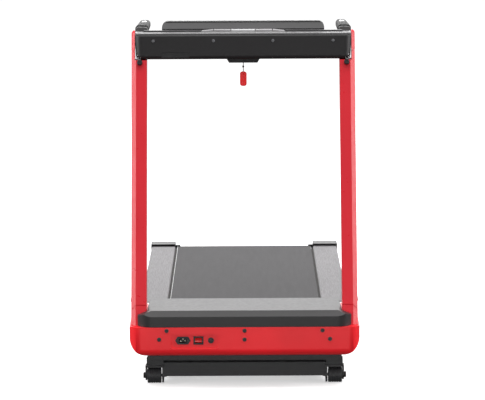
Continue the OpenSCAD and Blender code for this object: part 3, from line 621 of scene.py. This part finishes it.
def console_bar():
    """Bar with big round ends that lean in a little toward the bottom."""
    low, high = BAR_LOW, BAR_HIGH
    rings = []
    for place, inset in stops(-BAR_REACH, BAR_REACH, BAR_END_ROUND, BAR_END_ROUND, 10):
        corners = (BAR_CORNER - inset * 0.4, 2, 2, 7)
        ring = []
        for y, z in rounded(low.y + inset, high.y, low.z + inset * 0.25, high.z, corners, 8):
            drop = (high.z - z) / (high.z - low.z)
            ring.append((place * (1 - BAR_LEAN_IN / BAR_REACH * drop), y, z))
        rings.append(ring)
    bar = finish_mesh(loft(rings), "console_bar_look", "black_shell", "console", "console_bar")
    cuts = []
    for x, y, z in (ROD_SLOT, EYE_SLOT):
        cuts += both_boxes(x, (low.y + y[0], low.y + y[1]), (low.z + z[0], low.z + z[1]))
    label_z = (low.z + LABEL_Z[0], low.z + LABEL_Z[1])
    cuts.append(((LABEL_X[0], low.y - 2, label_z[0]), (LABEL_X[1], low.y + LABEL_DEPTH, label_z[1])))
    carve(bar, cuts)
    plate = block(Vector((LABEL_X[0] + LABEL_GAP, low.y + 0.7, label_z[0] + LABEL_GAP)),
                  Vector((LABEL_X[1] - LABEL_GAP, low.y + 2, label_z[1] - LABEL_GAP)),
                  "y", 1.5, (0.4, 0.4))
    finish_mesh(plate, "console_blank_plate", "black_metal", "console")


def groove_span():
    """Lowest and highest corner of the right groove in the cover."""
    edge = span("console_cover")[1].x - 1
    points = [point for point in corners_of("console_cover") if 0 < point.x < edge]
    return extremes(points)


def console_cover():
    """Top plate with a groove on each side and a raised lip behind each groove."""
    low, high = span("console_cover")
    rim = 4.5
    cover = finish_mesh(block(low, high, "z", (24, 24, 3, 3), (0.4, rim)), "console_cover_look",
                        "cover_grey", "console", "console_cover")
    first, last = groove_span()
    carve(cover, both_boxes((first.x, last.x), (first.y, last.y), (low.z - 1, high.z + 5)))
    for name, side in LEFT_RIGHT:
        corners = side_box(side, (first.x, last.x), (last.y + 2, last.y + 8),
                           (high.z - 0.4, high.z + 1.6))
        lip = block(Vector(corners[0]), Vector(corners[1]), "z", 1.5, (0.3, 0.8))
        finish_mesh(lip, "groove_lip_" + name, "lip_grey", "console")


TRIM_CUTS = (-137, -97, -40, 40, 97, 137)
TRIM_SLOPE = 40
TRIM_GAP = 1.2


def console_trim():
    """Centre strip in five segments, the end ones sloping down; the middle one is silver, the other
    four a light grey that is a painted highlight.
    """
    low, high = span("console_trim")
    rise = 0.5 * (high.z - low.z)
    for i, (x0, x1) in enumerate(zip(TRIM_CUTS, TRIM_CUTS[1:])):
        rings = []
        for x, place in ((x0, x0 + TRIM_GAP), (x1, x1 - TRIM_GAP)):
            height = rise * min(1, (TRIM_CUTS[-1] - abs(x)) / TRIM_SLOPE)
            outline = rounded(low.y, high.y, low.z, low.z + max(height, 1.2), (0.2, 0.2, 0.5, 0.5), 3)
            rings.append([(place, y, z) for y, z in outline])
        middle = i == 2
        replaced = ("console_trim",) if middle else ()
        # the four side segments' light grey is a painted highlight along their tops
        finish_mesh(loft(rings), "trim_segment_%d" % (i + 1), "silver_trim" if middle else "trim_grey",
                    "console", *replaced)


def thread(name, points, thickness):
    """A round rubber strand through machine-frame points."""
    curve = bpy.data.curves.new(name, "CURVE")
    curve.dimensions = "3D"
    curve.bevel_depth = thickness / 2 * MM
    curve.bevel_resolution = 4
    line = curve.splines.new("POLY")
    line.points.add(len(points) - 1)
    for spot, point in zip(line.points, points):
        spot.co = (*at(*point), 1)
    strand = bpy.data.objects.new(name, curve)
    bpy.context.scene.collection.objects.link(strand)
    curve.materials.append(LOOKS["black_rubber"])
    return strand


DASH_CORNER = 20


def dash_rim():
    """Dark round strand along the dash's crest, round its top corners, which makes a dark line on that
    edge.
    """
    low, high = span("dash_housing")
    crest_y = low.y + 22
    side_y = crest_y - 18
    side_z = high.z - DASH_CORNER - 22
    radius = DASH_CORNER - 3
    points = [(low.x + 2, side_y, side_z)]
    for step in range(25):
        turn = math.radians(180 - 180 * step / 24)
        centre_x = low.x + DASH_CORNER if step <= 12 else high.x - DASH_CORNER
        points.append((centre_x + radius * math.cos(turn), crest_y,
                       high.z - DASH_CORNER + radius * math.sin(turn)))
    points.append((high.x - 2, side_y, side_z))
    rim = thread("dash_rim", points, 3.6)
    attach(rim, "console")


GRIP_FLARE = 7
GRIP_ROUND = 12


def grips():
    """Foam grips that taper toward the user, on light collars."""
    for name, side in LEFT_RIGHT:
        node = "handle_" + name
        low, high = span(node)
        inner, outer = sorted((abs(low.x), abs(high.x)))
        rings = []
        for place, inset in stops(low.y, high.y, 1.5, 10, 8):
            near = 1 - (place - low.y) / (high.y - low.y)
            flare = GRIP_FLARE * near ** 1.5
            outline = rounded(inner + inset, outer + flare - inset, low.z + inset, high.z - inset,
                              max(GRIP_ROUND - inset, 1), 8)
            rings.append([(side * x, place, z) for x, z in outline])
        finish_mesh(loft(rings), node + "_look", "foam", "console", node)
        neck_low, neck_high = span("handle_necks", name)
        rings = []
        for place, inset in stops(neck_low.y, neck_high.y - 0.3, 0.5, 1.5, 4):
            outline = rounded(inner + 2 + inset, outer + 4 - inset, neck_low.z + inset,
                              neck_high.z - inset, 9 - inset, 8)
            rings.append([(side * x, place, z) for x, z in outline])
        replaced = ("handle_necks",) if name == "left" else ()
        finish_mesh(loft(rings), "handle_neck_" + name, "neck_grey", "console", *replaced)


def hand_rockers():
    """Two white pads side by side on one tilting base."""
    for node, side in (("speed_rocker", 1), ("incline_rocker", -1)):
        low, high = span(node)
        softened(node, 0.6, look="black_shell")
        width = high.x - low.x
        for half in (-1, 1):
            middle = (low.x + high.x) / 2 + half * width * 0.27
            reach = width * 0.22
            pad = block(Vector((middle - reach, low.y - 8, high.z - 2.2)),
                        Vector((middle + reach, high.y + 4, high.z + 0.5)), "z", 1.8, (0.2, 0.8))
            finish_mesh(pad, "%s_pad_%s" % (node, "inner" if half * side < 0 else "outer"),
                        "white_button", node)


# ---------- screws and bolts ----------

def socket_screw(name, x, y, z, radius, height, look, body, *replaced):
    """Round head with a hexagon socket, facing the motor end."""
    count = 36
    # radius, how far it stands out, and whether the ring is a hexagon
    profile = ((radius, 0, False), (radius, height * 0.6, False), (radius * 0.88, height, False),
               (radius * 0.6, height, False), (radius * 0.5, height, True),
               (radius * 0.5, height * 0.3, True))
    rings = []
    for reach, depth, hexagon in profile:
        ring = []
        for step in range(count):
            turn = 2 * math.pi * step / count
            r = reach
            if hexagon:
                r *= math.cos(math.pi / 6) / math.cos(turn % (math.pi / 3) - math.pi / 6)
            ring.append((x + r * math.cos(turn), y - depth, z + r * math.sin(turn)))
        rings.append(ring)
    return finish_mesh(loft(rings), name, look, body, *replaced)


SHELL_SCREW_SPOTS = ((250, 142), (274, 114), (0, 142), (0, 113), (-250, 142), (-274, 114))
SHELL_SCREW_RADIUS = 6.7


def shell_screws():
    height = -span("shell_screws")[0].y
    for i, (x, z) in enumerate(SHELL_SCREW_SPOTS):
        replaced = ("shell_screws",) if i == 0 else ()
        socket_screw("shell_screw_%d" % (i + 1), x, 0, z, SHELL_SCREW_RADIUS, height,
                     "black_metal", "frame", *replaced)


def console_screws():
    low, high = span("console_screws")
    radius = (high.z - low.z) / 2
    middle = (high.z + low.z) / 2
    inner = 97
    for i, x in enumerate((low.x + radius, -inner, inner, high.x - radius)):
        replaced = ("console_screws",) if i == 0 else ()
        socket_screw("console_screw_%d" % (i + 1), x, low.y + 1.2, middle, radius, 1.6, "screw_grey",
                     "console", *replaced)


def wheel_bolts():
    """Hexagon heads on the wheel bolts' outer ends."""
    start = span("wheel_bolts", "right")[1].x - 7
    spot = MACHINE.inverted() @ Vector(JOINTS["wheel_right_spin"]["pos_m"])
    softened("wheel_bolts", 0.5, look="black_metal")
    profile = [(9.6, 0), (10.6, 0.8), (10.6, 5.2), (9.4, 6.4), (5, 6.4), (4.4, 5.8)]
    for name, side in LEFT_RIGHT:
        head = turned(profile, (side * start, spot.y, spot.z), (side, 0, 0), 6)
        finish_mesh(head, "wheel_bolt_head_" + name, "black_metal", "lift_frame")


# ---------- uprights ----------

# a knob slides straight out of the upright's front face, so its axis gives the lean
KNOB_OUT = (MACHINE.inverted().to_3x3() @ Vector(JOINTS["knob_left_pull"]["axis"])).normalized()
LEAN = math.atan2(KNOB_OUT.z, -KNOB_OUT.y)
FACET = 15
TUBE_TOP = BAR_LOW.z - 2
EAR_DEPTH = 58
EAR_IN = BAR_REACH + 0.4
EAR_OUT = span("upright_right")[1].x
EAR_TOP = BAR_HIGH.z + 12
SEAM_Z = BAR_LOW.z + 27
SEAM_HALF = 0.6
EAR_BACK_Y = 366
EAR_BACK_ROUND = 28
EAR_FRONT_ROUND = 12


def face_at(z):
    """Y of the uprights' front face at a height."""
    return BAR_LOW.y + (z - TUBE_TOP) * math.tan(LEAN)


def arc(y, z, radius, start, end, steps):
    """Points of an arc in the Y-Z plane, in degrees from +Y toward +Z."""
    turns = [math.radians(start + (end - start) * step / steps) for step in range(steps + 1)]
    return [(y + radius * math.cos(turn), z + radius * math.sin(turn)) for turn in turns]


def upright_tube(name, side):
    """The CAD's tube without its plain side plate, which stands in front of the facet."""
    outer = EAR_OUT + 3
    inner = EAR_OUT - FACET
    rings = []
    for z in (TUBE_TOP - 60, TUBE_TOP + 3):
        face = face_at(z)
        behind = face + FACET / math.cos(LEAN) + 3.2
        rings.append([(side * inner, face, z), (side * outer, behind, z),
                      (side * outer, face - 60, z), (side * inner, face - 60, z)])
    above = side_box(side, (300, 400), (200, 500), (TUBE_TOP + 0.2, TUBE_TOP + 200))
    carve(softened("upright_" + name, 1.6), [above], [loft(rings)])


def ear_base(z0, z1, behind, inset, _sink):
    """Y-Z outline of the ear below the seam, where no free top can sink."""
    top = z1 - inset * 0.3
    return [
        (face_at(z0 + inset) + behind, z0 + inset), (face_at(z0) + EAR_DEPTH - inset, z0 + inset),
        (face_at(z1) + EAR_DEPTH - inset, top), (face_at(z1) + behind, top),
    ]


def ear_top(z0, z1, behind, inset, sink):
    """Y-Z outline of the ear above the seam, its top lowered by sink."""
    front_y = face_at(z1 - EAR_FRONT_ROUND) + behind + EAR_FRONT_ROUND
    return [
        (face_at(z0 + inset) + behind, z0 + inset),
        (face_at(z0) + EAR_DEPTH - inset, z0 + inset * 0.3),
        *arc(EAR_BACK_Y, z1 - sink - EAR_BACK_ROUND, EAR_BACK_ROUND - inset, -10, 100, 12),
        *arc(front_y, z1 - sink - EAR_FRONT_ROUND - inset * 0.5, EAR_FRONT_ROUND - inset * 0.5,
             90, 162, 6),
    ]


def ear(name, side, part, outline, z0, z1, proud):
    """One half of the ear that carries the upright's facet on past the console bar."""
    # place across, how far the outline shrinks there, and how far the top sinks
    steps = ((EAR_IN, 1.2, 0), (EAR_IN + 1.2, 0, 0), (EAR_OUT - 5, 0, 0), (EAR_OUT - 1.5, 0.4, 2.5),
             (EAR_OUT + proud, 1.2, 7))
    rings = []
    for x, inset, sink in steps:
        behind = max(0, x - EAR_OUT + FACET) / math.cos(LEAN) - proud
        rings.append([(side * x, y, z) for y, z in outline(z0, z1, behind, inset, sink)])
    finish_mesh(loft(rings), "ear_%s_%s" % (part, name), "red_paint", "uprights")


def uprights():
    for name, side in LEFT_RIGHT:
        upright_tube(name, side)
        ear(name, side, "base", ear_base, TUBE_TOP - 0.2, SEAM_Z - SEAM_HALF, 0)
        ear(name, side, "top", ear_top, SEAM_Z + SEAM_HALF, EAR_TOP, 0.3)


def head_pins():
    """The console's pivot pins, kept inside the bar's round ends."""
    pins = bmesh.new()
    spot = MACHINE.inverted() @ Vector(JOINTS["console_level"]["pos_m"])
    profile = [(4.4, 0), (5, 0.6), (5, 7), (4.4, 7.6)]
    for side in (-1, 1):
        turned(profile, (side * (EAR_IN - 16), spot.y, spot.z), (side, 0, 0), 32, pins)
    finish_mesh(pins, "head_pins", "steel", "uprights", "head_bolts")


def console_plates():
    """The end plates, cut back so that the bar's round ends cover them."""
    front = both_boxes((340, 360), (300, 328), (BAR_LOW.z - 40, BAR_LOW.z + 60))
    carve(softened("console_plates", 0.3), front)


def knobs():
    """Knurled pull knobs on the uprights' front faces."""
    profile = [(9.0, -13.2), (9.0, -2.2), (8.4, -0.8), (7.2, 0), (4.5, 0), (4.0, -0.7), (0.6, -0.7)]
    for node in ("knob_left", "knob_right"):
        low, high = span(node)
        points = corners_of(node)
        front = max(point.dot(KNOB_OUT) for point in points)
        cap = [point for point in points if point.dot(KNOB_OUT) > front - 0.5]
        centre = sum(cap, Vector()) / len(cap)
        centre.x = (low.x + high.x) / 2
        bm = turned(profile, centre, KNOB_OUT, 96, None, 24, 0.6)
        turned([(5, -23), (5, -13)], centre, KNOB_OUT, 32, bm)
        finish_mesh(bm, node + "_look", "black_shell", node, node)


# ---------- base ----------

def wheels():
    """Grooved tyres on dished hubs."""
    for name, side in LEFT_RIGHT:
        node = "wheel_" + name
        low, high = span(node)
        radius = (high.z - low.z) / 2
        half = (high.x - low.x) / 2
        tread = [(radius - 3, -half), (radius - 1, -half + 0.6), (radius, -half + 2.2)]
        for part in (-0.5, -0.17, 0.17, 0.5):
            g = part * half
            tread += [(radius, g - 1.4), (radius - 1.1, g - 0.7), (radius - 1.1, g + 0.7),
                      (radius, g + 1.4)]
        tread += [(radius, half - 2.2), (radius - 1, half - 0.6), (radius - 3, half)]
        hub = [(radius - 5, half), (radius - 6, half - 1.2), (radius - 7, half - 3.2),
               (9, half - 3.2), (8.4, half - 1), (5.2, half - 1)]
        back = [(r, -place) for r, place in reversed(hub)]
        bm = turned(back + tread + hub, (low + high) / 2, (side, 0, 0), 72)
        finish_mesh(bm, node + "_look", "wheel_plastic", node, node)


def belt():
    """The belt's loop, with a pale guide line along its left edge."""
    softened("running_belt", 0.3, 1)
    low, high = span("running_belt")
    middle = low.x + 1.4
    line = block(Vector((middle - 0.8, low.y + 24, high.z - 0.2)),
                 Vector((middle + 0.8, high.y - 24, high.z + 0.25)), "z", 0.4, (0.1, 0.1))
    finish_mesh(line, "belt_edge_line", "edge_line", "frame")


# ---------- the other CAD nodes ----------

# radius of the rounded edges, in millimetres
SOFT_EDGES = {
    "base_shell": 1.2, "motor_hood": 2.4, "belly_pan": 0.8, "upright_feet": 1.5,
    "dash_housing": 2.0, "key_housing": 1.2, "rail_left": 0.8, "rail_right": 0.8,
    "lift_frame": 0.8, "inlet_socket": 0.6, "switch_frame": 0.8, "breaker_body": 0.6,
    "breaker_button": 0.5, "rocker_switch": 0.5, "safety_key": 1.8, "base_frame": 0.8,
    "display_lens": 0.3, "start_button": 0.8, "stop_button": 0.8, "rear_feet": 1.0,
    "cord_bead": 0.6, "rear_caps": 1.0,
}


def dress_nodes():
    """Rounds the edges of the nodes listed above and paints the rest as they are."""
    for node, thing in NODES.items():
        if node in SOFT_EDGES:
            softened(node, SOFT_EDGES[node], look="black_metal" if node == "breaker_button" else None)
        elif not thing.hide_render:
            thing.data.materials.clear()
            thing.data.materials.append(LOOKS[SLOTS[node]])


def make_cord():
    """The safety key's short cord, straight down from the housing to the key."""
    hole = span("key_housing")[0].z
    low, high = span("safety_cord")
    middle = ((low.x + high.x) / 2, (low.y + high.y) / 2)
    cord = thread("safety_cord_look", [(*middle, hole), (*middle, low.z)], high.x - low.x)
    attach(cord, "safety_key")
    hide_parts("safety_cord")
    return cord, at(*middle, hole), (hole - low.z) * MM


make_camera()
make_lights()
make_floor()
cord, cord_exit, cord_length = make_cord()
console_bar()
console_cover()
console_trim()
dash_rim()
grips()
hand_rockers()
shell_screws()
console_screws()
uprights()
head_pins()
console_plates()
knobs()
wheels()
wheel_bolts()
belt()
dress_nodes()
